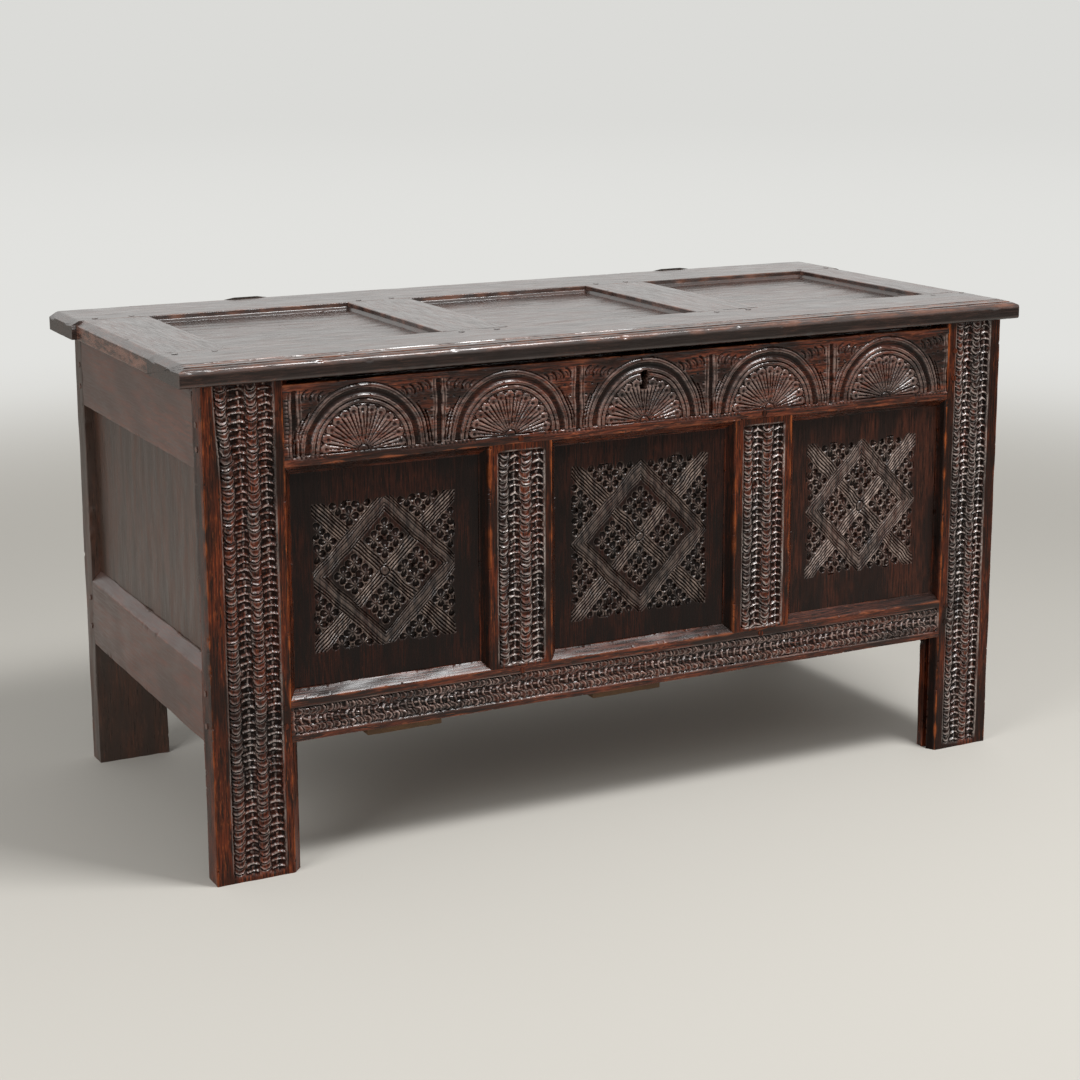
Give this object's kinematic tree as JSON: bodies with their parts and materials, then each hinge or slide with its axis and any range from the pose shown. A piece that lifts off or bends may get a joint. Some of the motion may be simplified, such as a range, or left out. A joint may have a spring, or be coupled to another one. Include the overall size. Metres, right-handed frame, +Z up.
{
  "type": "coffer chest",
  "caption": "Joined oak coffer on stile feet, with carved frame-and-panel front, plain panelled ends and back, and a hinged panelled lid with an inside lock.",
  "frame": {"origin": "centre of the bounding box, on the floor under the chest", "axes": "+X along the front to the viewer's right, +Y from the front to the back, +Z up"},
  "size_m": [1.372, 0.6184, 0.718],
  "materials": {
    "oak_front": "carved oak, near black with age and wax, worn to red-brown on the edges",
    "oak_side": "plain oak, dark grey-brown, satin wax",
    "oak_back": "plain oak, riven and dull brown",
    "oak_lid": "plain oak, dark brown, waxed and polished by use",
    "oak_floor": "bare unwaxed oak, dry and light brown",
    "iron": "hand-forged iron, dark and lightly rusted"
  },
  "bodies": {
    "chest": {"back_bottom_rail": "oak_back", "back_muntin_left": "oak_back", "back_muntin_right": "oak_back", "back_panel_left": "oak_back", "back_panel_middle": "oak_back", "back_panel_right": "oak_back", "back_pegs": "oak_back", "back_top_rail": "oak_back", "floor_batten_left": "oak_floor", "floor_batten_middle": "oak_floor", "floor_board_1": "oak_floor", "floor_board_2": "oak_floor", "floor_board_3": "oak_floor", "floor_nails": "iron", "front_bottom_rail": "oak_front", "front_muntin_left": "oak_front", "front_muntin_right": "oak_front", "front_panel_left": "oak_front", "front_panel_middle": "oak_front", "front_panel_right": "oak_front", "front_pegs": "oak_front", "front_stile_left": "oak_front", "front_stile_right": "oak_front", "front_top_rail": "oak_front", "hinge_chest_leaf_left": "iron", "hinge_chest_leaf_right": "iron", "hinge_nails_chest": "iron", "hinge_pin_left": "iron", "hinge_pin_right": "iron", "lock_case": "iron", "lock_nails": "iron", "lock_plate": "iron", "lock_spring": "iron", "rear_stile_left": "oak_back", "rear_stile_right": "oak_back", "side_bottom_rail_left": "oak_side", "side_bottom_rail_right": "oak_side", "side_panel_left": "oak_side", "side_panel_right": "oak_side", "side_pegs": "oak_side", "side_top_rail_left": "oak_side", "side_top_rail_right": "oak_side"},
    "lid": {"hinge_lid_leaf_left": "iron", "hinge_lid_leaf_right": "iron", "hinge_nails_lid": "iron", "lid_back_rail": "oak_lid", "lid_end_left": "oak_lid", "lid_end_right": "oak_lid", "lid_front_rail": "oak_lid", "lid_muntin_left": "oak_lid", "lid_muntin_right": "oak_lid", "lid_panel_left": "oak_lid", "lid_panel_middle": "oak_lid", "lid_panel_right": "oak_lid", "lid_pegs": "oak_lid", "lock_staple": "iron", "staple_nails": "iron"},
    "lock_bolt": {"lock_bolt": "iron"}
  },
  "joints": [
    {"name": "lid_hinge", "type": "hinge", "parent": "chest", "child": "lid", "pos_m": [0, 0.30375, 0.68825], "axis": [-1, 0, 0], "range_deg": [0, 100]},
    {"name": "lock_bolt_slide", "type": "slide", "parent": "chest", "child": "lock_bolt", "axis": [1, 0, 0], "range_m": [0, 0.011]}
  ]
}
